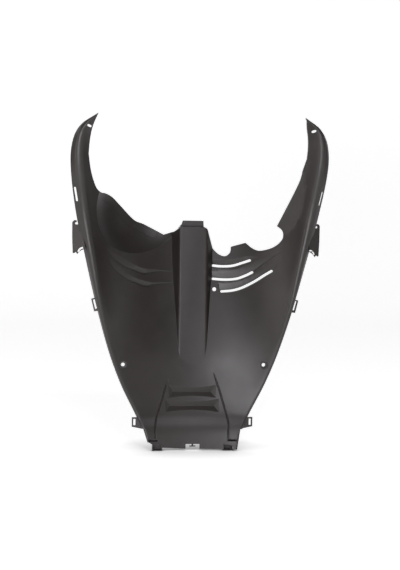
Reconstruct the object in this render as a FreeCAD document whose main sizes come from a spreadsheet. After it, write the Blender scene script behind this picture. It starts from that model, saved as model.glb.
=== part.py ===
import FreeCAD, Part
import Sketcher
import math
import os
from FreeCAD import Placement, Rotation, Vector

# Inner mudguard of a small scooter: one injection-moulded panel, seen from its wheel side.
# Millimetres. +X is to the viewer's right, +Y points away from the wheel, +Z is up.
# The origin lies midway between the two screw holes, in the plane of their seats.

DOC = FreeCAD.newDocument("InnerMudguard")

# Driving sizes of the moulding
SIZES = {
    "wall": 2.6,
    "flange": 9.5,
    "far_side": 140.0,
    # hat-shaped rib over the frame tube
    "rib_front_width": 42.0,
    "rib_wall_lean": 30.0,
    "rib_corner": 5.0,
    "rib_top": 204.0,
    "rib_top_face": 33.5,
    "rib_foot": -40.0,
    "rib_foot_face": 23.0,
    "tongue_width": 31.0,
    "tongue_height": 9.0,
    "tongue_set_back": 8.0,
    # round clearance bowl in the left side
    "bowl_radius": 95.0,
    "bowl_x": -52.5,
    "bowl_face": -33.5,
    "bowl_height": 227.5,
    # screw holes with round seats
    "screw_spacing": 210.0,
    "screw_hole": 5.5,
    "screw_seat": 11.0,
    "screw_seat_face": 0.0,
    # holes in the horn tips
    "tip_hole_spacing": 318.0,
    "tip_hole": 5.5,
    "tip_hole_height": 344.0,
    # long slots in the horn flanges
    "horn_slot_height": 249.0,
    "horn_slot_reach": 177.6,
    # hooked side tabs
    "hook_reach": 181.0,
    "hook_face": -27.5,
    # clip eyes at mid height and at the lower corners
    "clip_face": -12.9,
    "low_clip_face": 3.5,
    "clip_plate": 2.4,
    # flutes across the apron
    "flute_pitch": 21.0,
    "flute_height": 14.5,
    "flute_depth": 4.5,
    "flute_width": 66.0,
    "flute_mitre": 5.0,
    "flute_top": -36.3,
    "flute_face_1": 14.7,
    "flute_face_2": 10.7,
    # creases beside the apron
    "crease_width": 1.6,
    "crease_depth": 1.3,
    # air louvres
    "louvre_depth": 4.0,
    "louvre_slot": 3.6,
    # notch and lugs of the lower edge
    "notch_width": 21.0,
    "lug_reach": 53.5,
    "lug_height": 5.0,
    "lug_depth": 9.0,
}

# Cross-sections: height, half width, face of the middle (+Y is back), slope of the side wall at its
# edge, lean of the flange and radius of the rolled edge. Angles are in degrees.
SECTIONS = [
    (-128.0, 70.0, -2.5, 8.0, 84.0, 3.6),
    (-104.0, 73.5, -2.5, 8.0, 84.0, 3.6),
    (-92.0, 77.0, 0.5, 9.0, 84.0, 3.6),
    (-76.0, 83.0, 7.5, 11.0, 84.0, 3.6),
    (-30.0, 105.0, 16.5, 21.0, 84.0, 3.6),
    (20.0, 123.0, 23.5, 31.0, 84.0, 3.6),
    (90.0, 143.0, 37.5, 48.0, 80.0, 4.5),
    (160.0, 160.5, 50.5, 58.0, 66.0, 6.5),
    (225.0, 176.0, 53.5, 60.0, 56.0, 8.5),
    (290.0, 185.0, 35.5, 58.0, 56.0, 8.5),
    (325.0, 181.5, 23.5, 56.0, 66.0, 7.0),
    (347.0, 170.0, 11.5, 54.0, 76.0, 5.0),
    (362.0, 148.0, -2.5, 52.0, 82.0, 3.6),
]
# Least radius left on the rolled edge where a surface lies deep behind the skin
LEAST_ROLL = 0.4
# The hidden face ends this much short of the visible one, so that the flange gets a square edge
CAP_TRIM = 0.5
SECTION_WORDS = ("level", "half", "face", "slope", "lean", "roll")


def make_sheet():
    sheet = DOC.addObject("Spreadsheet::Sheet", "Sizes")
    values = dict(SIZES)
    for number, section in enumerate(SECTIONS):
        for word, value in zip(SECTION_WORDS, section):
            values["%s_%d" % (word, number)] = value
    for row, (alias, value) in enumerate(values.items(), start=1):
        sheet.set("A%d" % row, alias)
        sheet.set("B%d" % row, "%g" % value)
        sheet.setAlias("B%d" % row, alias)
    DOC.recompute()
    return sheet


SHEET = make_sheet()


def size(alias):
    return float(SHEET.get(alias))


def section_size(word, number):
    return size("%s_%d" % (word, number))


def bind(item, path, expression):
    item.setExpression(path, expression)


def boolean(kind, label, base, tool):
    item = DOC.addObject("Part::" + kind, label)
    item.Base = base
    item.Tool = tool
    return item


def cut(label, base, tool):
    return boolean("Cut", label, base, tool)


def common(label, base, tool):
    return boolean("Common", label, base, tool)


def join(label, *shapes):
    item = DOC.addObject("Part::MultiFuse", label)
    item.Shapes = list(shapes)
    return item


def box(label, width, depth, height, corner):
    item = DOC.addObject("Part::Box", label)
    for path, expression in (("Length", width), ("Width", depth), ("Height", height)):
        bind(item, path, expression)
    for axis, expression in zip("xyz", corner):
        bind(item, "Placement.Base.%s" % axis, expression)
    return item


def arc_between(centre, radius, start, end):
    """Arc of a circle from the start angle to the end angle, against the clock, in radians."""
    circle = Part.Circle(centre, Vector(0, 0, 1), radius)
    return Part.ArcOfCircle(circle, start, end)


class Section:
    """One level of the skin, set back into the wall by some distance."""

    def __init__(self, number, set_back):
        slope = math.radians(section_size("slope", number))
        lean = math.radians(section_size("lean", number))
        roll = section_size("roll", number)
        flange = size("flange")
        reach = section_size("half", number) - flange * math.cos(lean)
        reach -= roll * (math.sin(slope) + math.sin(lean))
        self.slope = slope
        self.lean = lean
        self.level = section_size("level", number)
        self.radius = reach / math.sin(slope)
        self.centre = Vector(0, section_size("face", number) - self.radius)
        self.main_radius = self.radius + set_back
        self.roll_radius = max(roll - set_back, LEAST_ROLL)
        inward = Vector(math.sin(slope), math.cos(slope))
        self.roll_centre = self.centre + (self.main_radius + self.roll_radius) * inward
        across = Vector(math.sin(lean), -math.cos(lean))
        along = Vector(math.cos(lean), math.sin(lean))
        self.edge = self.centre + self.main_radius * Vector(math.sin(slope), math.cos(slope))
        self.flange_start = self.roll_centre + self.roll_radius * across
        shortened = CAP_TRIM if set_back > 0 else 0.0
        self.flange_end = self.flange_start + (flange - shortened) * along
        self.outside = self.flange_end + (set_back + 1.5) * across


def mirrored(point):
    return Vector(-point.x, point.y, point.z)


def section_sketch(label, number, set_back):
    """Closed profile of everything behind the skin at one level."""
    section = Section(number, set_back)
    sketch = DOC.addObject("Sketcher::SketchObject", "%s_section_%d" % (label, number))
    quarter = math.pi / 2
    slope, lean = section.slope, section.lean
    right = [section.edge, section.flange_start, section.flange_end]
    if set_back > 0:
        right.append(section.outside)
    far = Vector(right[-1].x, size("far_side") + set_back)
    right.append(far)
    main = arc_between(section.centre, section.main_radius, quarter - slope, quarter + slope)
    roll_right = arc_between(section.roll_centre, section.roll_radius, -quarter - slope, lean - quarter)
    roll_left = arc_between(mirrored(section.roll_centre), section.roll_radius,
                            -quarter - lean, slope - quarter)
    edges = [main, roll_left]
    left = [mirrored(point) for point in right]
    for start, end in zip(left[1:], left[2:]):
        edges.append(Part.LineSegment(start, end))
    edges.append(Part.LineSegment(left[-1], right[-1]))
    for start, end in zip(right[:0:-1], right[-2:0:-1]):
        edges.append(Part.LineSegment(start, end))
    edges.append(roll_right)
    sketch.addGeometry(edges, False)
    bind(sketch, "Placement.Base.z", "Sizes.level_%d" % number)
    main_radius = sketch.addConstraint(Sketcher.Constraint("Radius", 0, section.main_radius))
    roll_radius = sketch.addConstraint(Sketcher.Constraint("Radius", 1, section.roll_radius))
    sketch.renameConstraint(main_radius, "main_radius")
    sketch.renameConstraint(roll_radius, "roll_radius")
    formula = "({0}.half_{1} - {0}.flange * cos({0}.lean_{1}) - {0}.roll_{1} * (sin({0}.slope_{1})"
    formula += " + sin({0}.lean_{1}))) / sin({0}.slope_{1}) + {2}"
    bind(sketch, "Constraints.main_radius", formula.format("Sizes", number, set_back))
    bind(sketch, "Constraints.roll_radius",
         "max(Sizes.roll_%d - %g; %g)" % (number, set_back, LEAST_ROLL))
    return sketch


def skin_region(label, set_back):
    """Solid region behind the skin, from the lower edge to the horn tips."""
    loft = DOC.addObject("Part::Loft", label)
    loft.Sections = [section_sketch(label, number, set_back) for number in range(len(SECTIONS))]
    loft.Solid = True
    loft.Ruled = False
    return loft


def flat_sketch(label, edges):
    """Closed outline in the front view: each edge's x and y stand for the model's x and z."""
    sketch = DOC.addObject("Sketcher::SketchObject", label)
    sketch.Placement = Placement(Vector(0, 0, 0), Rotation(Vector(1, 0, 0), 90))
    sketch.addGeometry(edges, False)
    return sketch


def polyline(points):
    return [Part.LineSegment(Vector(*a), Vector(*b)) for a, b in zip(points, points[1:])]


def curve(points):
    spline = Part.BSplineCurve()
    spline.interpolate([Vector(x, y, 0) for x, y in points])
    return spline


def through(label, edges):
    """The outline carried from front to back, past both faces of the panel."""
    sketch = flat_sketch(label + "_outline", edges)
    prism = DOC.addObject("Part::Extrusion", label)
    prism.Base = sketch
    prism.DirMode = "Custom"
    prism.Dir = Vector(0, -1, 0)
    prism.Solid = True
    bind(prism, "LengthFwd", "2 * Sizes.far_side")
    bind(prism, "LengthRev", "2 * Sizes.far_side")
    return prism


def mirror_x(points):
    return [(-x, y) for x, y in points]


def band(points, width):
    """Closed band of even width along a curve through the points."""
    half = width / 2
    low, high = [], []
    for number, (x, y) in enumerate(points):
        before = points[max(number - 1, 0)]
        after = points[min(number + 1, len(points) - 1)]
        run, rise = after[0] - before[0], after[1] - before[1]
        length = math.hypot(run, rise)
        low.append((x + half * rise / length, y - half * run / length))
        high.append((x - half * rise / length, y + half * run / length))
    edges = [curve(low)]
    edges += polyline([low[-1] + (0,), high[-1] + (0,)])
    edges.append(curve(high[::-1]))
    edges += polyline([high[0] + (0,), low[0] + (0,)])
    return edges


def rib_region(label, set_back, top):
    """Hat-shaped rib in front of the frame tube, with everything behind it."""
    lean = math.radians(size("rib_wall_lean"))
    far = size("far_side")
    profiles = []
    rise = size("rib_top") - size("rib_foot")
    for end, level in (("foot", size("rib_foot")), ("top", top)):
        share = (level - size("rib_foot")) / rise
        face = size("rib_foot_face") + share * (size("rib_top_face") - size("rib_foot_face")) + set_back
        half = size("rib_front_width") / 2 + set_back * (math.tan(lean) - 1 / math.cos(lean))
        corner = size("rib_corner") - set_back
        blend = corner * math.tan((math.pi / 2 - lean) / 2)
        half_far = half + (far - face) * math.tan(lean)
        centre = Vector(half - blend, face + corner)
        side = centre + corner * Vector(math.cos(lean), -math.sin(lean))
        arc_right = arc_between(centre, corner, -math.pi / 2, -lean)
        arc_left = arc_between(mirrored(centre), corner, lean - math.pi, -math.pi / 2)
        sketch = DOC.addObject("Sketcher::SketchObject", "%s_%s" % (label, end))
        edges = [Part.LineSegment(Vector(blend - half, face), Vector(half - blend, face)), arc_right,
                 Part.LineSegment(side, Vector(half_far, far)),
                 Part.LineSegment(Vector(half_far, far), Vector(-half_far, far)),
                 Part.LineSegment(Vector(-half_far, far), mirrored(side)), arc_left]
        sketch.addGeometry(edges, False)
        sketch.Placement = Placement(Vector(0, 0, level), Rotation())
        profiles.append(sketch)
    loft = DOC.addObject("Part::Loft", label)
    loft.Sections = profiles
    loft.Solid = True
    loft.Ruled = True
    return loft


def bowl(label, set_back):
    ball = DOC.addObject("Part::Sphere", label)
    bind(ball, "Radius", "Sizes.bowl_radius + %g" % set_back)
    bind(ball, "Placement.Base.x", "Sizes.bowl_x")
    bind(ball, "Placement.Base.y", "Sizes.bowl_face")
    bind(ball, "Placement.Base.z", "Sizes.bowl_height")
    return ball


def flute(label, number, set_back):
    """V-shaped trough across the apron with mitred ends, as the tool that presses it in."""
    level = size("flute_top") - size("flute_height") / 2 - number * size("flute_pitch")
    face = size("flute_face_%d" % (number + 1))
    clear = 6.0
    depth = size("flute_depth") + set_back * 1.25
    steep = size("flute_height") / 2 / size("flute_depth")
    reach = (depth + clear) * steep
    width = size("flute_width") / 2 + 3.0 * number
    mitre = size("flute_mitre") / size("flute_depth") * (depth + clear)
    wedge = DOC.addObject("Part::Wedge", label)
    wedge.Ymin, wedge.Ymax = face - clear, face + depth
    wedge.X2min, wedge.X2max = -width + size("flute_mitre"), width - size("flute_mitre")
    wedge.Xmin, wedge.Xmax = wedge.X2min - Q(mitre), wedge.X2max + Q(mitre)
    wedge.Zmin, wedge.Zmax = level - reach, level + reach
    wedge.Z2min, wedge.Z2max = level - 0.3, level + 0.3
    return wedge


def Q(value):
    return FreeCAD.Units.Quantity(value, FreeCAD.Units.Length)


def post(label, diameter, x, face, height, start):
    """Cylinder along Y from the start to the face."""
    pin = DOC.addObject("Part::Cylinder", label)
    pin.Radius = diameter / 2
    pin.Height = face - start
    pin.Placement = Placement(Vector(x, start, height), Rotation(Vector(1, 0, 0), -90))
    return pin


WALL = size("wall")
SIDES = (("left", -1), ("right", 1))

# Outline of the opening, front view: inner edges of the horns, then the edge between them
HORN_EDGE = [(143.5, 366.0), (151.5, 346.0), (156.0, 327.0), (157.5, 306.0)]
LEFT_HORN_FOOT = [(-157.5, 306.0), (-155.5, 284.0), (-150.5, 267.0), (-146.0, 257.5), (-140.0, 252.6),
                  (-132.0, 251.0), (-121.9, 245.5), (-109.4, 233.2), (-88.7, 212.7), (-73.0, 206.1),
                  (-43.4, 191.0)]
RIGHT_HORN_FOOT = [(157.5, 306.0), (153.5, 289.0), (148.0, 270.0), (122.0, 207.5)]
RIGHT_SCALLOP = [(122.0, 207.5), (129.0, 200.0), (129.0, 188.0), (118.3, 176.3), (101.0, 170.0),
                 (90.0, 172.5), (79.2, 181.0)]
RIGHT_TAB = [(79.2, 181.0), (58.3, 174.5)]
RIGHT_VALLEY = [(58.3, 174.5), (56.9, 165.5), (49.5, 160.0), (39.2, 163.5), (31.0, 171.5)]


def opening_edges():
    tongue = size("tongue_width") / 2
    top = size("rib_top") + size("tongue_height")
    rib = size("rib_front_width") / 2
    sky = size("level_%d" % (len(SECTIONS) - 1)) + 20
    edges = [curve(mirror_x(HORN_EDGE)), curve(LEFT_HORN_FOOT)]
    edges += polyline([LEFT_HORN_FOOT[-1] + (0,), (-28.0, 196.0, 0), (-tongue - 3.5, size("rib_top"), 0),
                       (-tongue, top, 0), (tongue, top, 0), (tongue + 0.5, size("rib_top"), 0),
                       (rib, size("rib_top") - 3.0, 0), RIGHT_VALLEY[-1] + (0,)])
    edges.append(curve(RIGHT_VALLEY[::-1]))
    edges += polyline([RIGHT_VALLEY[0] + (0,), RIGHT_TAB[0] + (0,)])
    edges.append(curve(RIGHT_SCALLOP[::-1]))
    edges.append(curve(RIGHT_HORN_FOOT[::-1]))
    edges.append(curve(HORN_EDGE[::-1]))
    edges += polyline([HORN_EDGE[0] + (0,), (HORN_EDGE[0][0], sky, 0), (-HORN_EDGE[0][0], sky, 0),
                       (-HORN_EDGE[0][0], HORN_EDGE[0][1], 0)])
    return edges


# Air louvres, front view: each is pressed in between its lower and upper line. Those on the right are
# cut through along the lower line; those on the left stay blind.
RIGHT_LOUVRES = [
    ([(29.0, 142.3), (54.0, 140.2), (89.0, 151.5)], [(29.0, 150.7), (56.0, 150.5), (91.0, 159.5)]),
    ([(29.0, 121.6), (62.0, 121.8), (91.0, 134.5), (124.0, 162.0)],
     [(29.0, 129.8), (62.0, 132.8), (108.0, 157.5), (126.0, 166.0)]),
    ([(40.0, 103.2), (67.0, 106.0), (91.0, 117.0), (119.0, 138.0)],
     [(38.0, 115.5), (62.0, 118.0), (92.0, 129.0), (120.0, 148.0)]),
]
SLOTS = [
    [(30.5, 145.4), (54.0, 143.2), (87.3, 154.5)],
    [(30.5, 124.7), (62.0, 124.9), (89.1, 136.8)],
    [(43.6, 106.5), (67.4, 109.4), (90.4, 120.5), (116.2, 139.7)],
]
LEFT_LOUVRES = [
    ([(-33.0, 133.5), (-59.0, 134.0), (-74.0, 131.0), (-100.0, 147.5), (-131.0, 170.0)],
     [(-33.0, 140.0), (-59.0, 141.5), (-74.0, 141.5), (-100.0, 156.0), (-130.0, 175.0)]),
    ([(-33.0, 115.5), (-52.0, 116.0), (-68.0, 112.0), (-101.0, 127.0), (-124.0, 148.0)],
     [(-33.0, 122.0), (-52.0, 124.0), (-68.0, 123.0), (-101.0, 138.0), (-123.0, 154.0)]),
]
CREASE = [(31.5, -14.0), (36.5, -30.0), (45.5, -57.0), (53.5, -83.0), (55.0, -96.0), (54.0, -111.0)]


def between(low, high):
    """Closed outline between a lower and an upper curve."""
    edges = [curve(low)]
    edges += polyline([low[-1] + (0,), high[-1] + (0,)])
    edges.append(curve(high[::-1]))
    edges += polyline([high[0] + (0,), low[0] + (0,)])
    return edges


def grown(low, high, margin):
    """The same two curves, moved apart and lengthened by a margin."""
    lower, upper = [], []
    for source, target, lift in ((low, lower, -margin), (high, upper, margin)):
        for number, (x, y) in enumerate(source):
            shift = 0.0
            if number == 0:
                shift = -margin
            if number == len(source) - 1:
                shift = margin
            target.append((x + math.copysign(1.0, x) * shift, y + lift))
    return lower, upper


def slab(label, points, face, thickness):
    """Plate with a polygon outline in the front view, from its face backwards."""
    corners = [point + (0,) for point in points]
    sketch = flat_sketch(label + "_outline", polyline(corners + corners[:1]))
    sketch.Placement.Base.y = face
    plate = DOC.addObject("Part::Extrusion", label)
    plate.Base = sketch
    plate.DirMode = "Custom"
    plate.Dir = Vector(0, 1, 0)
    plate.Solid = True
    bind(plate, "LengthFwd", thickness)
    return plate


def sided(sign, points):
    return [(sign * x, y) for x, y in points]


front_skin = skin_region("front_skin", 0.0)
back_skin = skin_region("back_skin", WALL)
louvre_floor = skin_region("louvre_floor", size("louvre_depth"))
louvre_rear = skin_region("louvre_rear", size("louvre_depth") + WALL)
crease_floor = skin_region("crease_floor", size("crease_depth"))

# Front tools: what is pressed into the visible face. Back tools: the same, one wall further back.
front_tools = [bowl("bowl_front", 0.0)]
back_tools = [bowl("bowl_back", WALL)]
for number in range(2):
    front_tools.append(flute("flute_front_%d" % number, number, 0.0))
    back_tools.append(flute("flute_back_%d" % number, number, WALL))
presses, reliefs, creases = [], [], []
for side, louvres in (("left", LEFT_LOUVRES), ("right", RIGHT_LOUVRES)):
    for number, (low, high) in enumerate(louvres):
        presses.append(through("louvre_%s_%d" % (side, number), between(low, high)))
        reliefs.append(through("relief_%s_%d" % (side, number), between(*grown(low, high, WALL))))
for side, sign in SIDES:
    x = sign * size("screw_spacing") / 2
    face = size("screw_seat_face")
    front_tools.append(post("seat_front_" + side, size("screw_seat"), x, face, 0, face - 30))
    back_tools.append(post("seat_back_" + side, size("screw_seat") + 2 * WALL, x, face + WALL, 0, face - 30))
    creases.append(through("crease_" + side, band(sided(sign, CREASE), size("crease_width"))))
front_tools.append(cut("louvre_press", join("louvre_set", *presses), louvre_floor))
front_tools.append(cut("crease_press", join("crease_set", *creases), crease_floor))
back_tools.append(cut("louvre_relief", join("relief_set", *reliefs), louvre_rear))

RIB_END = size("rib_top") + size("tongue_height")
TONGUE_FACE = size("rib_top_face") + size("tongue_set_back")
face_side = cut("face_side", front_skin, join("front_tool_set", *front_tools))
core_side = cut("core_side", back_skin, join("back_tool_set", *back_tools))
rib_front = rib_region("rib_front", 0.0, RIB_END + 2)
rib_back = rib_region("rib_back", WALL, size("rib_top") - WALL)
tongue_back = box("tongue_back", "Sizes.tongue_width + 2 * Sizes.wall", "Sizes.far_side", "40 mm",
                  ("-Sizes.tongue_width / 2 - Sizes.wall",
                   "Sizes.rib_top_face + Sizes.tongue_set_back + Sizes.wall", "Sizes.rib_top - 10"))
tongue_front = box("tongue_front", "3 * Sizes.rib_front_width", "100 mm", "40 mm",
                   ("-1.5 * Sizes.rib_front_width",
                    "Sizes.rib_top_face + Sizes.tongue_set_back - 100", "Sizes.rib_top"))
front_body = cut("front_body", join("face_with_rib", face_side, rib_front), tongue_front)
back_body = join("back_body", core_side, rib_back, tongue_back)
shell = cut("shell", front_body, back_body)

# Tabs, clip eyes and lugs around the edge
HOOK = [(155.0, 172.0), (165.0, 172.5), (172.0, 169.0), (177.0, 163.5), (181.0, 163.5), (181.0, 210.0),
        (178.0, 212.5), (167.5, 212.0)]
CLIP = [(139.0, 81.0), (148.5, 79.5), (153.0, 98.0), (143.0, 101.5)]
CLIP_EYE = [(143.2, 84.0), (146.4, 83.2), (149.8, 96.6), (146.4, 97.6)]
LOW_CLIP = [(74.0, -97.0), (90.5, -93.5), (90.5, -79.5), (77.0, -79.5)]
LOW_CLIP_EYE = [(84.0, -91.5), (87.6, -91.5), (87.6, -81.8), (84.0, -81.8)]
tabs = []
holes = [through("opening", opening_edges())]
for side, sign in SIDES:
    tabs.append(slab("hook_" + side, sided(sign, HOOK), size("hook_face"), "Sizes.clip_plate"))
    lip = [(size("hook_reach") - size("clip_plate"), 165.0), (size("hook_reach"), 165.0),
           (size("hook_reach"), 209.0), (size("hook_reach") - size("clip_plate"), 209.0)]
    tabs.append(slab("hook_lip_" + side, sided(sign, lip), size("hook_face"), "8 mm"))
    for label, plate, eye, face in (("clip_" + side, CLIP, CLIP_EYE, size("clip_face")),
                                    ("low_clip_" + side, LOW_CLIP, LOW_CLIP_EYE, size("low_clip_face"))):
        solid = slab(label + "_plate", sided(sign, plate), face, "Sizes.clip_plate")
        tabs.append(cut(label, solid, slab(label + "_eye", sided(sign, eye), face - 5, "12 mm")))
    lug_low, lug_high = size("level_0"), size("level_0") + size("lug_height")
    lug = [(size("lug_reach") - 7.5, lug_low), (size("lug_reach") + 5.5, lug_low),
           (size("lug_reach") + 7.5, lug_high), (size("lug_reach") - 7.5, lug_high)]
    tabs.append(slab("lug_" + side, sided(sign, lug), -10.5, "Sizes.lug_depth"))
    slot_x = size("lug_reach") + 5.0
    slot = [(slot_x - 7.5, -115.0), (slot_x + 7.5, -115.0), (slot_x + 6.0, -112.0), (slot_x - 7.5, -112.0)]
    holes += [slab("lug_slot_" + side, sided(sign, slot), -60, "80 mm")]
    x = sign * size("screw_spacing") / 2
    holes.append(post("screw_hole_" + side, size("screw_hole"), x, 60, 0, -60))
    x = sign * size("tip_hole_spacing") / 2
    holes.append(post("tip_hole_" + side, size("tip_hole"), x, 40, size("tip_hole_height"), -120))
    tilt = 0.187
    reach, level = size("horn_slot_reach"), size("horn_slot_height")
    horn_slot = [(reach - tilt * 10, level - 10), (reach + tilt * 10, level + 10)]
    holes.append(through("horn_slot_" + side, band(sided(sign, horn_slot), 3.0)))
for number, line in enumerate(SLOTS):
    holes.append(through("slot_%d" % number, band(line, size("louvre_slot"))))
holes.append(post("drain_hole", 6.0, 35.5, 80, 110.0, 0))
notch = size("notch_width") / 2
bottom = size("level_0")
holes.append(slab("notch_low", [(-notch, bottom - 5), (notch, bottom - 5), (notch, bottom + 3.2),
                                (-notch, bottom + 3.2)], -60, "80 mm"))
holes.append(slab("notch_high", [(-notch, bottom + 5.2), (notch, bottom + 5.2), (notch, bottom + 8.5),
                                 (-notch, bottom + 8.5)], -60, "80 mm"))
opened = cut("opened", shell, join("hole_set", *holes))
mudguard = join("mudguard", opened, *tabs)
DOC.recompute()
failed = [item.Name for item in DOC.Objects if {"Invalid", "Error"} & set(item.State)]
if failed or mudguard.Shape.isNull() or not mudguard.Shape.isValid():
    raise RuntimeError("The mudguard did not build: %s" % failed)
os.makedirs("parts", exist_ok=True)
mudguard.Shape.exportStep("parts/mudguard.step")
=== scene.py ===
"""Looks of the inner mudguard: grained black plastic, standing on a white floor in soft studio light."""

from math import atan2, cos, hypot, pi, radians, sin, sqrt, tan

import bmesh
import bpy
from mathutils import Matrix, Vector


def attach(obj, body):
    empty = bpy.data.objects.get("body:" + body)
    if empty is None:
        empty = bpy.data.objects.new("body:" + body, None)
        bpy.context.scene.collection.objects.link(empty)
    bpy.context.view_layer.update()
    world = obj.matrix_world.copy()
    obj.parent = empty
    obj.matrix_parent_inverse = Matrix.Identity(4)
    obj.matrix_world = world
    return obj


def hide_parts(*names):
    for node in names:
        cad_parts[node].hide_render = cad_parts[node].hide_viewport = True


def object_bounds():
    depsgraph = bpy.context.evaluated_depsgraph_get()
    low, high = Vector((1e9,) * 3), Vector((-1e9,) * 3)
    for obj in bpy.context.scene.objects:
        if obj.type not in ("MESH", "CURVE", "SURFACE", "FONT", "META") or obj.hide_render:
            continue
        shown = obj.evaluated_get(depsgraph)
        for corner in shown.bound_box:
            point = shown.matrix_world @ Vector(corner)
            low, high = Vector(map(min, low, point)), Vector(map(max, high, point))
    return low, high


MM = 0.001

# Moulding, in millimetres and degrees. "Face" is how far back (+Y) a flat front lies.
WALL = 2.6
FLANGE = 9.5
LEAST_ROLL = 0.8
CAP_TRIM = 0.5
# The closed bodies reach this far back. The hidden one is longer at both ends and at the flange.
FAR_SIDE = 140.0
PAST_ENDS = 2.0
PAST_FLANGE = 1.5
# How far a cutting tool stands in front of the skin, how far it passes an edge, and half the length of one
# that goes right through
CLEAR = 6.0
PAST_EDGE = 20.0
THROUGH = 200.0
# The skin's depth at a lower edge is read this much above it
EDGE_READING = 1.0

# Hat-shaped rib over the frame tube, and the tongue that carries on above it
RIB_WIDTH = 42.0
RIB_LEAN = 30.0
RIB_CORNER = 5.0
RIB_TOP = 204.0
RIB_TOP_FACE = 33.5
RIB_FOOT = -40.0
RIB_FOOT_FACE = 18.0
TONGUE_WIDTH = 31.0
TONGUE_HEIGHT = 9.0
TONGUE_SET_BACK = 8.0
TONGUE_FLARE_LEFT = 3.5
TONGUE_FLARE_RIGHT = 0.5
RIB_SHOULDER = 3.0

# Round clearance bowl of the left side and the deeper lip along its upper edge
BOWL_RADIUS = 95.0
BOWL_CENTRE = (-52.5, -33.5, 227.5)
LIP_WIDTH = 7.0
LIP_DEPTH = 1.5
LIP_WALL = 1.3

# Flat facet inside the right horn: a point on it, its turn and nod, and the reach of its block from there
FACET_POINT = (150.0, -25.7, 227.0)
FACET_TURN = 41.3
FACET_NOD = -6.4
FACET_LOW = (-60.0, 0.0, -60.0)
FACET_HIGH = (8.0, 30.0, 60.0)

# Screw seats and holes, drain hole (x, height, width) and widths of the long holes
SCREW_SPACING = 210.0
SCREW_HOLE = 5.5
SCREW_SEAT = 11.0
SEAT_DRILL = 30.0
DRAIN = (33.5, 109.8, 6.0)
LOUVRE_SLOT = 3.7
TIP_HOLE_WIDTH = 3.2
HORN_SLOT_WIDTH = 2.6
TAB_SLOT_WIDTH = 2.4

# Side tabs and clip eyes
TAB_POINT = (170.0, -27.5, 190.0)
TAB_TURN = 40.0
TAB_REACH = 40.0
TAB_PLATE = 2.4
CLIP_FACE = -12.9
LOW_CLIP_FACE = 3.5
CLIP_PLATE = 2.4

# Flutes across the apron and the creases beside them
FLUTE_TOP = -36.4
FLUTE_PITCH = 20.6
FLUTE_COUNT = 2
FLUTE_DROP = 6.2
FLUTE_DEPTH = 3.6
FLUTE_WIDTH = 66.0
FLUTE_GROWTH = 9.0
FLUTE_MITRE = 4.5
FLUTE_FLOOR = 0.2
CREASE_WIDTH = 3.0
CREASE_DEPTH = 1.6
CREASE_START = 0.15
CREASE_FADE = 6
# Half of the groove's profile: share of the width, and how far it goes in
CREASE_PROFILE = ((1.2, -CLEAR), (0.5, 0.0), (0.12, CREASE_DEPTH))

# Window of the lower edge with its T-shaped latch
WINDOW_WIDTH = 21.0
WINDOW_TOP = -118.4
LATCH_WIDTH = 9.0
LATCH_BAR = 1.6
LATCH_STEM = 2.56
LATCH_DROP = 2.6
LATCH_RISE = 6.0
LATCH_BEAM = 1.5
LATCH_SET_BACK = 1.3

# Snap sockets and feet: reach from the middle, width, lowest level and height
POCKETS = ((59.3, 13.5, -113.8, 2.8), (52.9, 12.0, -126.5, 6.8))
POCKET_DEPTH = 9.0
POCKET_WALL = 1.4
POCKET_SET_BACK = 0.7

# Cross-sections: level, half width, face of the middle (+Y is back), slope of the side wall at its edge,
# lean of the flange and radius of the rolled edge
SECTIONS = (
    (-128.0, 69.5, -5.0, 8.0, 84.0, 3.6),
    (-104.0, 72.8, -2.5, 8.0, 84.0, 3.6),
    (-92.0, 77.6, 0.5, 9.0, 84.0, 3.6),
    (-76.0, 85.4, 7.5, 11.0, 84.0, 3.6),
    (-30.0, 108.0, 16.5, 21.0, 84.0, 3.6),
    (20.0, 126.6, 23.5, 31.0, 84.0, 3.6),
    (90.0, 146.2, 37.5, 48.0, 80.0, 4.5),
    (160.0, 162.8, 50.5, 58.0, 66.0, 6.5),
    (225.0, 177.0, 53.5, 60.0, 56.0, 8.5),
    (290.0, 184.86, 35.5, 58.0, 56.0, 8.5),
    (325.0, 182.0, 23.5, 56.0, 66.0, 7.0),
    (347.0, 170.2, 11.5, 54.0, 76.0, 5.0),
    (362.0, 148.0, -2.5, 52.0, 82.0, 3.6),
)

# Fineness of the mesh: distance between rings, then steps along each kind of curve
RING_STEP = 4.0
MAIN_STEPS = 22
ROLL_STEPS = 6
CURVE_STEPS = 5
CORNER_STEPS = 5
END_STEPS = 8
CIRCLE_STEPS = 32
BALL_STEPS = (96, 54)
SHARP_ANGLE = 22

# Front view outlines, as x and height
LEFT_HORN = ((-144.5, 366.0), (-153.4, 346.0), (-157.6, 327.0), (-159.3, 306.0))
RIGHT_HORN = ((144.5, 366.0), (152.5, 340.0), (154.8, 322.0), (154.6, 306.0))
LEFT_BAY = ((-159.3, 306.0), (-156.0, 284.0), (-151.0, 267.0), (-146.0, 257.0), (-140.0, 252.6),
            (-132.0, 251.0), (-121.9, 245.5), (-109.4, 233.2), (-88.7, 212.7), (-73.0, 206.1), (-43.4, 191.0))
BAY_FOOT = (-28.0, 196.0)
RIGHT_BAY = ((154.6, 306.0), (150.8, 290.0), (145.6, 268.0), (121.5, 207.5))
SCALLOP = ((121.5, 207.5), (129.0, 200.0), (129.0, 188.0), (118.3, 176.3), (101.0, 170.0), (90.0, 172.5),
           (79.2, 181.0))
VALLEY = ((58.3, 174.5), (56.9, 165.5), (49.5, 160.0), (39.2, 163.5), (31.0, 171.5))
LIP = ((-136.0, 246.5), (-121.5, 239.0), (-110.0, 227.5), (-90.0, 206.8), (-73.0, 199.5), (-60.0, 192.5))
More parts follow.
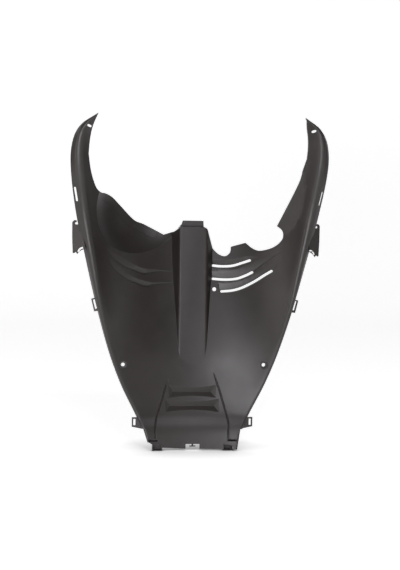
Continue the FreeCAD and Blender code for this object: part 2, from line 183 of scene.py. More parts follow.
HEM = ((-74.0, -95.0), (-68.0, -113.5), (-60.5, -118.0), (-59.6, -122.4), (-10.0, -125.3), (66.5, -126.0),
       (71.2, -96.0))
CREASES = (
    ((-35.9, -24.0), (-39.6, -34.0), (-45.5, -54.6), (-53.1, -77.5), (-56.2, -94.0), (-55.6, -110.0)),
    ((32.0, -14.0), (37.3, -30.0), (42.6, -45.9), (48.5, -66.4), (53.6, -86.0), (53.4, -98.0),
     (53.6, -111.0)),
)
TAB = ((161.8, 171.0), (164.0, 170.7), (167.4, 169.4), (171.0, 166.6), (173.8, 163.2), (176.1, 166.2),
       (178.4, 164.0), (180.4, 164.6), (181.4, 188.0), (181.4, 208.8), (178.8, 211.8), (175.2, 211.8),
       (174.6, 209.2), (177.4, 208.0), (176.8, 205.8), (170.2, 205.8))
TAB_SLOT = ((163.4, 172.9), (167.4, 172.3), (170.4, 170.2), (172.2, 167.4))
CLIP = ((138.0, 81.0), (148.5, 79.5), (153.0, 98.0), (141.0, 101.5))
CLIP_EYE = ((144.3, 84.0), (146.9, 83.2), (150.3, 96.6), (147.5, 97.6))
LOW_CLIP = ((74.0, -97.0), (90.5, -93.5), (90.5, -79.5), (77.0, -79.5))
LOW_CLIP_EYE = ((85.0, -91.5), (88.3, -91.5), (88.3, -81.8), (85.0, -81.8))
TIP_HOLE = ((157.7, 343.6), (160.3, 344.4))
HORN_SLOT = ((175.0, 240.2), (178.1, 257.8))

# The space of a louvre starts above its upper line by this share of its width
LOUVRE_LEAD = 0.5
# Louvres, each a row of stations: x and height of the flush upper line, x and height of the sunk lower
# line, and the depth there
LEFT_LOUVRES = (
    ((-131.4, 173.6, -133.4, 170.8, 0.4), (-117.0, 161.5, -120.5, 156.5, 1.6),
     (-101.0, 152.0, -105.0, 144.5, 3.0), (-86.0, 144.8, -89.0, 137.6, 3.6),
     (-71.0, 139.7, -73.0, 131.6, 3.6), (-60.0, 138.3, -61.7, 134.8, 1.4),
     (-44.0, 137.2, -44.4, 135.6, 0.7), (-24.0, 136.4, -24.0, 134.8, 0.7)),
    ((-126.2, 156.2, -128.4, 153.4, 0.4), (-112.5, 142.5, -117.0, 138.6, 1.8),
     (-98.0, 132.4, -102.0, 126.6, 3.0), (-83.0, 125.3, -86.0, 118.6, 3.6),
     (-67.0, 120.6, -68.6, 112.8, 3.6), (-57.5, 119.8, -58.8, 116.2, 1.4),
     (-42.0, 119.4, -42.2, 117.8, 0.7), (-24.0, 119.2, -24.0, 117.6, 0.7)),
)
RIGHT_LOUVRES = (
    ((23.0, 154.0, 23.0, 144.6, 4.6), (44.0, 154.3, 45.0, 143.7, 4.6), (60.0, 155.3, 61.5, 144.9, 4.6),
     (73.0, 158.3, 76.0, 150.2, 4.0), (84.0, 161.0, 87.0, 155.0, 2.4), (93.0, 160.6, 94.5, 158.6, 0.5)),
    ((23.0, 136.6, 23.0, 124.4, 4.6), (46.0, 137.5, 49.0, 123.8, 4.6), (64.0, 139.8, 68.0, 126.2, 4.6),
     (79.0, 145.2, 84.0, 133.2, 4.0), (94.0, 152.8, 98.0, 145.2, 2.6), (109.0, 161.3, 111.5, 156.8, 1.5),
     (125.0, 171.2, 126.3, 169.0, 0.5)),
    ((40.5, 118.2, 41.0, 105.6, 4.2), (55.0, 119.2, 58.0, 107.2, 4.6), (70.0, 122.6, 75.0, 112.4, 4.6),
     (84.0, 129.2, 90.0, 121.0, 4.6), (98.0, 138.2, 104.0, 131.2, 4.0), (110.5, 147.0, 116.0, 140.4, 2.4),
     (120.5, 152.6, 122.2, 149.6, 0.5)),
)
SLOTS = (
    ((32.0, 145.2), (45.0, 144.3), (60.5, 145.5), (73.7, 149.9), (85.6, 154.6)),
    ((32.0, 125.2), (50.0, 124.4), (66.4, 126.2), (79.5, 131.4), (89.0, 136.8)),
    ((44.6, 106.6), (60.0, 108.4), (74.7, 113.2), (92.3, 123.3), (105.9, 133.4), (115.2, 140.2)),
)

# Camera, as fitted to the photograph
PHOTO_WIDTH = 400
FOCAL_PIXELS = 1131.7
SENSOR = 36.0
CAMERA_PLACE = (-0.1817, -1.6584, 0.2355)
CAMERA_YAW = -6.5
CAMERA_PITCH = -4.0
CAMERA_ROLL = 1.05

# Plastic: sRGB tones of the darkest and palest flow patches and of the paler edges (partly wear, partly a
# painted highlight), then sizes in millimetres. The grain is drawn about three times as coarse as real spark
# erosion, so that it shows.
PLASTIC_DARK = "#292422"
PLASTIC_PALE = "#332E2C"
# Paler edge tone: partly wear, partly a painted highlight along every edge
PLASTIC_EDGE = "#54504E"
EDGE_ROUNDING = 0.7
FLOW_PATCH = 60.0
GLOSS_PATCH = 22.0
GRAIN = 0.9
FINE_GRAIN = 0.35
GRAIN_HEIGHT = 0.05
GRAIN_STRENGTH = 0.5
PLASTIC_IOR = 1.5
# Noise levels where a flow patch is darkest and palest, and roughness of the glossiest and dullest patches
FLOW_DARK = 0.3
FLOW_PALE = 0.72
ROUGHNESS_LEAST = 0.36
ROUGHNESS_MOST = 0.46
# Cosine between the face and its rounded edge where the paler tone (wear and painted highlight) starts and
# where it is full, and the share of it there
EDGE_START = 0.995
EDGE_FULL = 0.8
EDGE_SHARE = 0.35

# Studio, in metres
PAPER_LENGTH = 6.0
PAPER_HALF = 1.6
BACK_DISTANCE = 2.6
BEND_RADIUS = 0.8
BEND_STEPS = 12
PAPER_COLOUR = "#ECECEC"
PAPER_GLOW = 0.8
# Reach of the ambient occlusion that dims the paper's glow: a painted contact shadow
CONTACT_REACH = 0.09
WHITE = "#FFFFFF"
ROOM_LIGHT = 0.1
# Share of open space above the paper at which its glow is gone, the darkest of the painted contact shadow
CONTACT_DARKEST = 0.3
# How straight back a direction points where the white wall starts, and where it is full
BACKLIGHT_START = 0.5
BACKLIGHT_FULL = 0.85

# Softboxes: name, place, width and height, power in watts, tint
LAMPS = (
    ("tall_left", (-2.0, -0.5, 0.35), (0.8, 1.8), 12, "#FFFDFA"),
    ("key_front", (-0.48, -1.7, -0.02), (0.6, 0.25), 14, "#FAFAFF"),
    ("key_above", (0.1, -1.5, 1.25), (0.7, 0.3), 8, "#FAFAFF"),
    ("strip_right", (2.0, -0.5, 0.45), (0.5, 1.4), 3, WHITE),
)


def section_at(level):
    """Half width, face, slope, lean and roll at a level, on smooth curves through the sections."""
    level = min(max(level, SECTIONS[0][0]), SECTIONS[-1][0])
    number = 0
    while number < len(SECTIONS) - 2 and SECTIONS[number + 1][0] < level:
        number += 1
    before, low, high, after = (SECTIONS[min(max(number + k, 0), len(SECTIONS) - 1)] for k in (-1, 0, 1, 2))
    span = high[0] - low[0]
    t = (level - low[0]) / span
    values = []
    for item in range(1, len(low)):
        start = (high[item] - before[item]) / (high[0] - before[0]) * span
        end = (after[item] - low[item]) / (after[0] - low[0]) * span
        value = low[item] * (2 * t**3 - 3 * t**2 + 1) + start * (t**3 - 2 * t**2 + t)
        values.append(value + high[item] * (3 * t**2 - 2 * t**3) + end * (t**3 - t**2))
    return values


def heading(angle):
    """Unit vector at that angle in a flat drawing."""
    return Vector((cos(angle), sin(angle)))


def main_arc(level):
    """Centre and radius of the panel's main curve at a level, its slope and lean in radians, and its roll."""
    half, face, slope, lean, roll = section_at(level)
    slope, lean = radians(slope), radians(lean)
    reach = half - FLANGE * cos(lean) - roll * (sin(slope) + sin(lean))
    radius = reach / sin(slope)
    return Vector((0, face - radius)), radius, slope, lean, roll


def skin_face(x, level):
    """How far back the visible skin lies at that place of the front view."""
    centre, radius, *_ = main_arc(level)
    return centre.y + sqrt(radius**2 - x**2)


def skin_ring(level, set_back):
    """Closed outline of everything behind the skin at one level."""
    centre, radius, slope, lean, roll = main_arc(level)
    radius += set_back
    roll = max(roll - set_back, LEAST_ROLL)
    right = [centre + radius * heading(pi / 2 - slope * k / MAIN_STEPS) for k in range(MAIN_STEPS)]
    roll_centre = centre + (radius + roll) * heading(pi / 2 - slope)
    for k in range(ROLL_STEPS + 1):
        right.append(roll_centre + roll * heading((slope + lean) * k / ROLL_STEPS - pi / 2 - slope))
    trim = CAP_TRIM if set_back > 0 else 0.0
    right.append(right[-1] + (FLANGE - trim) * heading(lean))
    if set_back > 0:
        right.append(right[-1] + (set_back + PAST_FLANGE) * heading(lean - pi / 2))
    right.append(Vector((right[-1].x, FAR_SIDE + set_back)))
    left = [Vector((-p.x, p.y)) for p in right[:0:-1]]
    return [Vector((p.x, p.y, level)) for p in left + right]


def solid(rings):
    """Closed object through rings of points, in millimetres, with flat ends."""
    count = len(rings[0])
    points = [tuple(p * MM) for ring in rings for p in ring]
    faces = [tuple(range(count)), tuple(range(len(points) - count, len(points)))]
    for row in range(0, len(points) - count, count):
        for k in range(count):
            following = (k + 1) % count
            faces.append((row + k, row + following, row + count + following, row + count + k))
    mesh = bpy.data.meshes.new("tool")
    mesh.from_pydata(points, [], faces)
    form = bmesh.new()
    form.from_mesh(mesh)
    bmesh.ops.recalc_face_normals(form, faces=form.faces)
    form.to_mesh(mesh)
    form.free()
    item = bpy.data.objects.new("tool", mesh)
    bpy.context.scene.collection.objects.link(item)
    return item


def combine(base, operation, *tools):
    """The base after each tool is joined to it (UNION), cut from it (DIFFERENCE) or crossed with it."""
    for tool in tools:
        step = base.modifiers.new("step", "BOOLEAN")
        step.operation = operation
        step.solver = "MANIFOLD"
        step.object = tool
    depsgraph = bpy.context.evaluated_depsgraph_get()
    result = bpy.data.meshes.new_from_object(base.evaluated_get(depsgraph))
    base.modifiers.clear()
    base.data = result
    for tool in tools:
        bpy.data.objects.remove(tool)
    return base


def smooth(points):
    """Points along a soft curve through the given ones."""
    result = []
    for k in range(len(points) - 1):
        a, b, c, d = (Vector(points[min(max(k + j, 0), len(points) - 1)]) for j in (-1, 0, 1, 2))
        for step in range(CURVE_STEPS):
            t = step / CURVE_STEPS
            square, cube = 2 * a - 5 * b + 4 * c - d, 3 * b - a - 3 * c + d
            result.append(0.5 * (2 * b + (c - a) * t + square * t**2 + cube * t**3))
    return result + [Vector(points[-1])]


def sided(sign, points):
    """Points of the right side, or their mirror images on the left."""
    return [(sign * x, level) for x, level in points]


def prism(outline, front=-THROUGH, back=THROUGH):
    """Solid with an outline in the front view, from front to back."""
    return solid([[Vector((x, y, level)) for x, level in outline] for y in (front, back)])


def box(low, high):
    """Box between two corners."""
    (x0, y0, z0), (x1, y1, z1) = low, high
    return prism(((x0, z0), (x1, z0), (x1, z1), (x0, z1)), y0, y1)


def ribbon(points, width):
    """Outline of even width along a soft curve, with round ends."""
    line = smooth(points)
    sides = [[], []]
    for k, point in enumerate(line):
        run = line[min(k + 1, len(line) - 1)] - line[max(k - 1, 0)]
        across = Vector((-run.y, run.x)).normalized() * width / 2
        sides[0].append(point - across)
        sides[1].append(point + across)
    ends = []
    for point, rim in ((line[-1], sides[0][-1]), (line[0], sides[1][0])):
        start = atan2(rim.y - point.y, rim.x - point.x)
        ends.append([point + width / 2 * heading(start + pi * k / END_STEPS) for k in range(1, END_STEPS)])
    return sides[0] + ends[0] + sides[1][::-1] + ends[1]


def skin_region(set_back):
    """Solid region behind the skin. The hidden one runs past the visible one at both ends."""
    past = PAST_ENDS if set_back > 0 else 0.0
    low, high = SECTIONS[0][0] - past, SECTIONS[-1][0] + past
    steps = round((high - low) / RING_STEP)
    return solid([skin_ring(low + (high - low) * k / steps, set_back) for k in range(steps + 1)])


def rib_region(set_back, top):
    """Hat-shaped rib in front of the frame tube, with everything behind it."""
    lean = radians(RIB_LEAN)
    rings = []
    for level in (RIB_FOOT, top):
        share = (level - RIB_FOOT) / (RIB_TOP - RIB_FOOT)
        face = RIB_FOOT_FACE + share * (RIB_TOP_FACE - RIB_FOOT_FACE) + set_back
        half = RIB_WIDTH / 2 + set_back * (tan(lean) - 1 / cos(lean))
        corner = RIB_CORNER - set_back
        centre = Vector((half - corner * tan((pi / 2 - lean) / 2), face + corner))
        bend = (pi / 2 - lean) / CORNER_STEPS
        right = [centre + corner * heading(bend * k - pi / 2) for k in range(CORNER_STEPS + 1)]
        right.append(Vector((half + (FAR_SIDE - face) * tan(lean), FAR_SIDE)))
        left = [Vector((-p.x, p.y)) for p in right[::-1]]
        rings.append([Vector((p.x, p.y, level)) for p in left + right])
    return solid(rings)


def ball(growth):
    """Clearance ball of the left side."""
    form = bmesh.new()
    place = Matrix.Translation(Vector(BOWL_CENTRE) * MM)
    around, upright = BALL_STEPS
    bmesh.ops.create_uvsphere(
        form, u_segments=around, v_segments=upright, radius=(BOWL_RADIUS + growth) * MM, matrix=place
    )
    mesh = bpy.data.meshes.new("tool")
    form.to_mesh(mesh)
    form.free()
    item = bpy.data.objects.new("tool", mesh)
    bpy.context.scene.collection.objects.link(item)
    return item


def scoop(stations, set_back):
    """Space of one pressed louvre: its floor slopes in from the flush upper line to the sunk lower line."""
    flat = [(Vector((x, level)), Vector((low_x, low))) for x, level, low_x, low, depth in stations]
    tops = smooth([top for top, low in flat])
    lows = smooth([low for top, low in flat])
    depths = [p.x for p in smooth([(station[4], 0.0) for station in stations])]
    rings = []
    for top, low, depth in zip(tops, lows, depths):
        start = skin_face(top.x, top.y)
        down = low - top
        width = down.length
        down.normalize()
        sunk = skin_face(low.x, low.y) - start + depth
        steep = sunk / width
        back = set_back * hypot(1, steep)
        front = min(0.0, sunk - depth) - CLEAR
        end = width + set_back
        lead = -LOUVRE_LEAD * width
        corners = ((lead, lead * steep + back), (end, end * steep + back), (end, front), (lead, front))
        rings.append([Vector((top.x + across * down.x, start + y, top.y + across * down.y))
                      for across, y in corners])
    return solid(rings)


def crease(points):
    """Space of a soft groove along a curve of the apron."""
    line = smooth(points)
    rings = []
    for k, point in enumerate(line):
        run = line[min(k + 1, len(line) - 1)] - line[max(k - 1, 0)]
        across = Vector((-run.y, run.x)).normalized()
        fade = min(1.0, CREASE_START + k / CREASE_FADE)
        ring = []
        for share, y in [(-share, y) for share, y in CREASE_PROFILE] + list(CREASE_PROFILE[::-1]):
            place = point + across * share * CREASE_WIDTH * fade
            ring.append(Vector((place.x, skin_face(place.x, place.y) + (y * fade if y > 0 else y), place.y)))
        rings.append(ring)
    return solid(rings)


def flute(number, set_back):
    """V-shaped trough with mitred ends, pressed square to the apron."""
    level = FLUTE_TOP - FLUTE_DROP - number * FLUTE_PITCH
    above, below = skin_face(0, level + FLUTE_DROP), skin_face(0, level - FLUTE_DROP)
    tilt = atan2(above - below, 2 * FLUTE_DROP)
    floor = FLUTE_DEPTH + set_back * hypot(1, FLUTE_DEPTH / FLUTE_DROP)
    spread = FLUTE_DROP / FLUTE_DEPTH * (floor + CLEAR)
    half = (FLUTE_WIDTH + number * FLUTE_GROWTH) / 2 - FLUTE_MITRE
    mitre = FLUTE_MITRE / FLUTE_DEPTH * (floor + CLEAR)
    edge = set_back / 2 + FLUTE_FLOOR
    turn = Matrix.Rotation(-tilt, 3, "X")
    middle = Vector((0, (above + below) / 2, level))
    rings = []
    for y, x, z in ((-CLEAR, half + mitre, spread), (floor, half + edge, edge)):
        corners = ((-x, -z), (x, -z), (x, z), (-x, z))
        rings.append([middle + turn @ Vector((across, y, rise)) for across, rise in corners])
    return solid(rings)


def round_tool(diameter, x, level, front=-THROUGH, back=THROUGH):
    """Drill along Y, from front to back."""
    circle = [Vector((x, level)) + diameter / 2 * heading(2 * pi * k / CIRCLE_STEPS)
              for k in range(CIRCLE_STEPS)]
    return prism(circle, front, back)


def turned_box(place, turn, low, high):
    """Box between two corners that are measured from its place, turned about that place."""
    rings = []
    for y in (low[1], high[1]):
        outline = ((low[0], low[2]), (high[0], low[2]), (high[0], high[2]), (low[0], high[2]))
        rings.append([Vector(place) + turn @ Vector((x, y, z)) for x, z in outline])
    return solid(rings)


def facet(set_back):
    """Block behind the flat facet inside the right horn."""
    turn = Matrix.Rotation(radians(-FACET_TURN), 3, "Z") @ Matrix.Rotation(radians(-FACET_NOD), 3, "X")
    inward = Vector((0, set_back, 0))
    return turned_box(FACET_POINT, turn, Vector(FACET_LOW) + inward, Vector(FACET_HIGH) + inward)


def side_tab(sign):
    """Curled tab on the edge of the panel, turned out from it."""
    turn = Matrix.Rotation(radians(sign * TAB_TURN), 3, "Z")
    x, y, level = TAB_POINT
    low, high = (-TAB_REACH, 0.0, -TAB_REACH), (TAB_REACH, TAB_PLATE, TAB_REACH)
    plate = turned_box((sign * x, y, level), turn, low, high)
    combine(plate, "INTERSECT", prism(sided(sign, TAB)))
    return combine(plate, "DIFFERENCE", prism(ribbon(sided(sign, TAB_SLOT), TAB_SLOT_WIDTH)))


def clip(sign, outline, eye, face):
    """Flat clip with an eye through it."""
    plate = prism(sided(sign, outline), face, face + CLIP_PLATE)
    return combine(plate, "DIFFERENCE", prism(sided(sign, eye)))


def opening():
    """Outline of the wide U above the panel, from the left horn tip round to the right one."""
    tongue, rib, sky = TONGUE_WIDTH / 2, RIB_WIDTH / 2, SECTIONS[-1][0] + PAST_EDGE
    top = RIB_TOP + TONGUE_HEIGHT
    outline = smooth(LEFT_HORN)[:-1] + smooth(LEFT_BAY)
    outline += [BAY_FOOT, (-tongue - TONGUE_FLARE_LEFT, RIB_TOP), (-tongue, top), (tongue, top),
                (tongue + TONGUE_FLARE_RIGHT, RIB_TOP), (rib, RIB_TOP - RIB_SHOULDER)]
    outline += smooth(VALLEY[::-1]) + smooth(SCALLOP[::-1])[:-1] + smooth(RIGHT_BAY[::-1])[:-1]
    outline += smooth(RIGHT_HORN[::-1])
    return outline + [(RIGHT_HORN[0][0], sky), (LEFT_HORN[0][0], sky)]


def lip(growth, set_back):
    """Slightly larger ball, cut down to a band along the bowl's upper edge."""
    return combine(ball(LIP_DEPTH + growth), "INTERSECT", prism(ribbon(LIP, 2 * (LIP_WIDTH + set_back))))


def pressed_forms(set_back):
    """Tools for everything that the mould presses into the skin, set back by the wall for the hidden face."""
    tools = [ball(set_back), lip(LIP_WALL if set_back else 0.0, set_back)]
    tools += [flute(number, set_back) for number in range(FLUTE_COUNT)]
    tools += [scoop(stations, set_back) for stations in LEFT_LOUVRES + RIGHT_LOUVRES]
    for sign in (-1, 1):
        seat = SCREW_SEAT + 2 * set_back
        tools.append(round_tool(seat, sign * SCREW_SPACING / 2, 0, -SEAT_DRILL, set_back))
    return tools


def latch():
    """T-shaped latch that hangs in the window of the lower edge."""
    bar, stem, beam = LATCH_WIDTH / 2, LATCH_STEM / 2, WINDOW_TOP - LATCH_DROP
    top, foot = beam + LATCH_RISE, beam - LATCH_BEAM
    outline = ((-stem, top), (-stem, beam), (-bar, beam), (-bar, foot),
               (bar, foot), (bar, beam), (stem, beam), (stem, top))
    face = skin_face(0, WINDOW_TOP + EDGE_READING) + LATCH_SET_BACK
    return prism(outline, face, face + LATCH_BAR)


def pocket(centre, width, level, height):
    """Walls of a socket or foot behind the skin, and the tool that opens its mouth through the skin."""
    face = skin_face(abs(centre), level + EDGE_READING)
    low, high, back = centre - width / 2, centre + width / 2, face + POCKET_DEPTH
    walls = box((low - POCKET_WALL, face + POCKET_SET_BACK, level - POCKET_WALL),
                (high + POCKET_WALL, back + POCKET_SET_BACK, level + height + POCKET_WALL))
    mouth = ((low, face - CLEAR, level), (high, back - POCKET_SET_BACK, level + height))
    return combine(walls, "DIFFERENCE", box(*mouth)), box(*mouth)


def shell():
    """Skin of the panel with its pressed forms, rib and tongue: a visible body less a hidden one."""
    front, back = skin_region(0.0), skin_region(WALL)
    combine(front, "UNION", facet(0.0))
    combine(back, "UNION", facet(WALL))
    combine(front, "DIFFERENCE", *pressed_forms(0.0), *[crease(points) for points in CREASES])
    combine(back, "DIFFERENCE", *pressed_forms(WALL))
    tongue_face = RIB_TOP_FACE + TONGUE_SET_BACK
    half = TONGUE_WIDTH / 2 + WALL
    top = RIB_TOP + PAST_EDGE
    tongue = box((-half, tongue_face + WALL, RIB_TOP - PAST_EDGE), (half, FAR_SIDE, top + PAST_EDGE))
    combine(back, "UNION", rib_region(WALL, RIB_TOP - WALL), tongue)
    combine(front, "UNION", rib_region(0.0, top))
    above = box((-RIB_WIDTH, -THROUGH, RIB_TOP), (RIB_WIDTH, tongue_face, top + PAST_EDGE))
    return combine(front, "DIFFERENCE", above, back)


def moulded_panel():
    """The whole moulding: the shell with its edges and holes cut, then its tabs, clips, latch and pockets."""
    bottom, side = SECTIONS[0][0] - PAST_EDGE, SECTIONS[0][1] + PAST_EDGE
    hem = HEM + ((side, HEM[-1][1]), (side, bottom), (-side, bottom), (-side, HEM[0][1]))
    x, level, width = DRAIN
    window = WINDOW_WIDTH / 2
    holes = [prism(opening()), prism(hem)]
    holes += [prism(ribbon(line, LOUVRE_SLOT)) for line in SLOTS]
    holes.append(round_tool(width, x, level))
    holes.append(box((-window, -THROUGH, bottom), (window, THROUGH, WINDOW_TOP)))
    fittings = [latch()]
    for sign in (-1, 1):
        holes.append(round_tool(SCREW_HOLE, sign * SCREW_SPACING / 2, 0))
        holes.append(prism(ribbon(sided(sign, TIP_HOLE), TIP_HOLE_WIDTH)))
        holes.append(prism(ribbon(sided(sign, HORN_SLOT), HORN_SLOT_WIDTH)))
        fittings += [side_tab(sign), clip(sign, CLIP, CLIP_EYE, CLIP_FACE),
                     clip(sign, LOW_CLIP, LOW_CLIP_EYE, LOW_CLIP_FACE)]
        for reach, *sizes in POCKETS:
            walls, mouth = pocket(sign * reach, *sizes)
            fittings.append(walls)
            holes.append(mouth)
    panel = combine(shell(), "DIFFERENCE", *holes)
    combine(panel, "UNION", *fittings)
    panel.name = panel.data.name = "moulded_panel"
    panel.data.shade_smooth()
    panel.data.set_sharp_from_angle(angle=radians(SHARP_ANGLE))
    return panel


def linear(code):
    """A colour written as #RRGGBB, as linear red, green, blue and alpha."""
    channels = [int(code[i : i + 2], 16) / 255 for i in (1, 3, 5)]
    straight = [c / 12.92 if c <= 0.04045 else ((c + 0.055) / 1.055) ** 2.4 for c in channels]
    return (*straight, 1.0)


class Nodes:
    """The node tree of one material or world, with a short way to add a node."""

    def __init__(self, owner):
        self.tree = owner.node_tree
        self.tree.nodes.clear()

    def add(self, kind, links=None, settings=None, **values):
        """A node of that kind: values go to inputs, links join sockets and settings are its own fields."""
        node = self.tree.nodes.new("ShaderNode" + kind)
        for name, value in (settings or {}).items():
            setattr(node, name, value)
        for name, value in values.items():
            node.inputs[name.replace("_", " ")].default_value = value
        for name, socket in (links or {}).items():
            self.tree.links.new(socket, node.inputs[name])
        return node


def new_material(name):
    """An empty node material and the helper for its nodes."""
    material = bpy.data.materials.new(name)
    material.use_nodes = True
    return material, Nodes(material)


def moulded_plastic():
    """Injection-moulded black polypropylene with a fine spark-eroded grain.

    The grain breaks the highlight into a soft satin sheen. Edges are a little rounder than the faces, and
    paler, partly as wear and partly as a painted highlight. Broad patches differ slightly in gloss, as flow
    in the mould leaves them.
    """
    material, nodes = new_material("moulded_black_plastic")
    place = nodes.add("TexCoord").outputs["Object"]

    broad = nodes.add("TexNoise", {"Vector": place}, Scale=1 / (FLOW_PATCH * MM), Detail=3.0, Roughness=0.55)
    tone = nodes.add("ValToRGB", {"Fac": broad.outputs["Fac"]})
    tone.color_ramp.elements[0].position = FLOW_DARK
    tone.color_ramp.elements[0].color = linear(PLASTIC_DARK)
    tone.color_ramp.elements[1].position = FLOW_PALE
    tone.color_ramp.elements[1].color = linear(PLASTIC_PALE)

    rounded = nodes.add("Bevel", settings={"samples": 8}, Radius=EDGE_ROUNDING * MM)
    flat = nodes.add("NewGeometry").outputs["True Normal"]
    facing = nodes.add("VectorMath", settings={"operation": "DOT_PRODUCT"})
    nodes.tree.links.new(rounded.outputs["Normal"], facing.inputs[0])
    nodes.tree.links.new(flat, facing.inputs[1])
    # Edge mask for the paler tone: partly wear, partly a painted highlight
    edge = nodes.add(
        "MapRange",
        {"Value": facing.outputs["Value"]},
        From_Min=EDGE_START,
        From_Max=EDGE_FULL,
        To_Min=0.0,
        To_Max=EDGE_SHARE,
    )
    # A Mix node takes its two colours at inputs 6 and 7 and gives the mixed one at output 2
    edge_wear_and_highlight = nodes.add("Mix", {"Factor": edge.outputs["Result"]}, settings={"data_type": "RGBA"})
    nodes.tree.links.new(tone.outputs["Color"], edge_wear_and_highlight.inputs[6])
    edge_wear_and_highlight.inputs[7].default_value = linear(PLASTIC_EDGE)

    grain = nodes.add(
        "TexVoronoi", {"Vector": place}, settings={"feature": "SMOOTH_F1"}, Scale=1 / (GRAIN * MM)
    )
    fine = nodes.add("TexNoise", {"Vector": place}, Scale=1 / (FINE_GRAIN * MM), Detail=2.0)
    rough_sum = nodes.add("Math", settings={"operation": "ADD"})
    nodes.tree.links.new(grain.outputs["Distance"], rough_sum.inputs[0])
    nodes.tree.links.new(fine.outputs["Fac"], rough_sum.inputs[1])
    bump = nodes.add(
        "Bump",
        {"Height": rough_sum.outputs["Value"], "Normal": rounded.outputs["Normal"]},
        Strength=GRAIN_STRENGTH,
        Distance=GRAIN_HEIGHT * MM,
    )

    patches = nodes.add("TexNoise", {"Vector": place}, Scale=1 / (GLOSS_PATCH * MM), Detail=4.0)
    gloss = nodes.add(
        "MapRange", {"Value": patches.outputs["Fac"]}, To_Min=ROUGHNESS_LEAST, To_Max=ROUGHNESS_MOST
    )

    shader = nodes.add(
        "BsdfPrincipled",
        {
            "Base Color": edge_wear_and_highlight.outputs[2],
            "Roughness": gloss.outputs["Result"],
            "Normal": bump.outputs["Normal"],
        },
        IOR=PLASTIC_IOR,
    )
    nodes.add("OutputMaterial", {"Surface": shader.outputs["BSDF"]})
    return material


def seen_directly(nodes):
    """1 for rays from the camera and for those that a glossy or clear surface sends on, otherwise 0."""
    path = nodes.add("LightPath").outputs
    first = nodes.add("Math", {0: path["Is Camera Ray"], 1: path["Is Glossy Ray"]}, {"operation": "MAXIMUM"})
    return nodes.add(
        "Math", {0: first.outputs["Value"], 1: path["Is Transmission Ray"]}, {"operation": "MAXIMUM"}
    ).outputs["Value"]


def studio_white():
    """White paper sweep: matt, with enough glow towards the camera to read as white where no shadow falls.

    Ambient occlusion dims the glow where the part stands close: a painted contact shadow at its foot.
    """
    material, nodes = new_material("white_paper_sweep")
    paper = nodes.add("BsdfDiffuse", Color=linear(PAPER_COLOUR))
    # Ambient occlusion dims the glow near the part: a painted contact shadow
    contact = nodes.add("AmbientOcclusion", settings={"samples": 16}, Distance=CONTACT_REACH)
    glow_less_painted_shadow = nodes.add(
        "MapRange", {"Value": contact.outputs["AO"]}, From_Min=CONTACT_DARKEST, To_Min=0.0, To_Max=PAPER_GLOW
    )
    glow_strength = nodes.add(
        "Math", {0: seen_directly(nodes), 1: glow_less_painted_shadow.outputs["Result"]}, {"operation": "MULTIPLY"}
    )
    glow = nodes.add("Emission", {"Strength": glow_strength.outputs["Value"]}, Color=linear(WHITE))
    both = nodes.add("AddShader", {0: paper.outputs["BSDF"], 1: glow.outputs["Emission"]})
    nodes.add("OutputMaterial", {"Surface": both.outputs["Shader"]})
    return material


def sweep(floor_level):
    """The floor and a backdrop that rises from it in a smooth bend."""
    profile = [(-PAPER_LENGTH, 0.0)]
    for i in range(BEND_STEPS + 1):
        turn = pi / 2 * i / BEND_STEPS
        profile.append((BACK_DISTANCE + BEND_RADIUS * (sin(turn) - 1), BEND_RADIUS * (1 - cos(turn))))
    profile.append((BACK_DISTANCE, PAPER_LENGTH))
    points = [(x, y, z + floor_level) for y, z in profile for x in (-PAPER_HALF, PAPER_HALF)]
    faces = [(2 * i, 2 * i + 1, 2 * i + 3, 2 * i + 2) for i in range(len(profile) - 1)]
    mesh = bpy.data.meshes.new("studio_sweep")
    mesh.from_pydata(points, [], faces)
    mesh.shade_smooth()
    mesh.materials.append(studio_white())
    sheet = bpy.data.objects.new("studio_sweep", mesh)
    bpy.context.scene.collection.objects.link(sheet)


def softbox(name, place, face, power, tint, target):
    """A rectangular area lamp at place, turned towards target."""
    lamp = bpy.data.lights.new(name, "AREA")
    lamp.shape = "RECTANGLE"
    lamp.size, lamp.size_y = face
    lamp.energy = power
    lamp.color = linear(tint)[:3]
    holder = bpy.data.objects.new(name, lamp)
    holder.location = place
    holder.rotation_euler = (Vector(target) - Vector(place)).to_track_quat("-Z", "Y").to_euler()
    bpy.context.scene.collection.objects.link(holder)


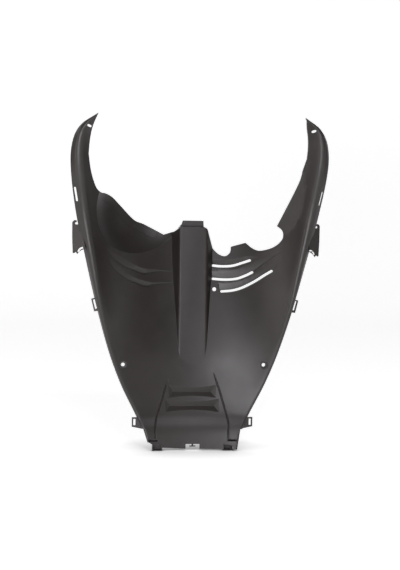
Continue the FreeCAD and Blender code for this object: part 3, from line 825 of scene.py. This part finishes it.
def photo_camera():
    """The camera of the photograph."""
    yaw, pitch, roll = radians(CAMERA_YAW), radians(CAMERA_PITCH), radians(CAMERA_ROLL)
    forward = Vector((-sin(yaw) * cos(pitch), cos(yaw) * cos(pitch), sin(pitch)))
    level = forward.cross(Vector((0, 0, 1))).normalized()
    rise = level.cross(forward)
    right = level * cos(roll) + rise * sin(roll)
    up = rise * cos(roll) - level * sin(roll)
    data = bpy.data.cameras.new("photo_camera")
    data.sensor_fit = "HORIZONTAL"
    data.sensor_width = SENSOR
    data.lens = FOCAL_PIXELS * SENSOR / PHOTO_WIDTH
    camera = bpy.data.objects.new("photo_camera", data)
    turn = Matrix((right, up, -forward)).transposed().to_4x4()
    camera.matrix_world = Matrix.Translation(CAMERA_PLACE) @ turn
    bpy.context.scene.collection.objects.link(camera)
    bpy.context.scene.camera = camera


def surroundings():
    """A dim room round the part and the white studio wall behind it; the camera sees white all round."""
    world = bpy.data.worlds.new("studio")
    world.use_nodes = True
    bpy.context.scene.world = world
    nodes = Nodes(world)
    direction = nodes.add("SeparateXYZ", {"Vector": nodes.add("TexCoord").outputs["Generated"]})
    wall = nodes.add(
        "MapRange",
        {"Value": direction.outputs["Y"]},
        From_Min=BACKLIGHT_START,
        From_Max=BACKLIGHT_FULL,
        To_Min=ROOM_LIGHT,
    )
    seen = nodes.add("LightPath").outputs["Is Camera Ray"]
    level = nodes.add("Math", {0: wall.outputs["Result"], 1: seen}, {"operation": "MAXIMUM"})
    back = nodes.add("Background", {"Strength": level.outputs["Value"]}, Color=linear(WHITE))
    nodes.add("OutputWorld", {"Surface": back.outputs["Background"]})


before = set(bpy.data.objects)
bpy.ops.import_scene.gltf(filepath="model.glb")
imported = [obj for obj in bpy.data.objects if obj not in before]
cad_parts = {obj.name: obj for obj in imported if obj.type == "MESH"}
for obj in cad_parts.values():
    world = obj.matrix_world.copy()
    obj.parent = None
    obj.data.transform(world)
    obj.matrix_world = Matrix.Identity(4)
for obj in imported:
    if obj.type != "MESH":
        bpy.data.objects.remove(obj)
cad_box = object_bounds()
panel = moulded_panel()
panel.data.materials.clear()
panel.data.materials.append(moulded_plastic())
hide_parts("mudguard")
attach(panel, "root")

middle = (cad_box[0] + cad_box[1]) / 2
sweep(cad_box[0].z)
surroundings()
for lamp in LAMPS:
    softbox(*lamp, middle)
photo_camera()

bpy.context.scene.view_settings.view_transform = "Standard"
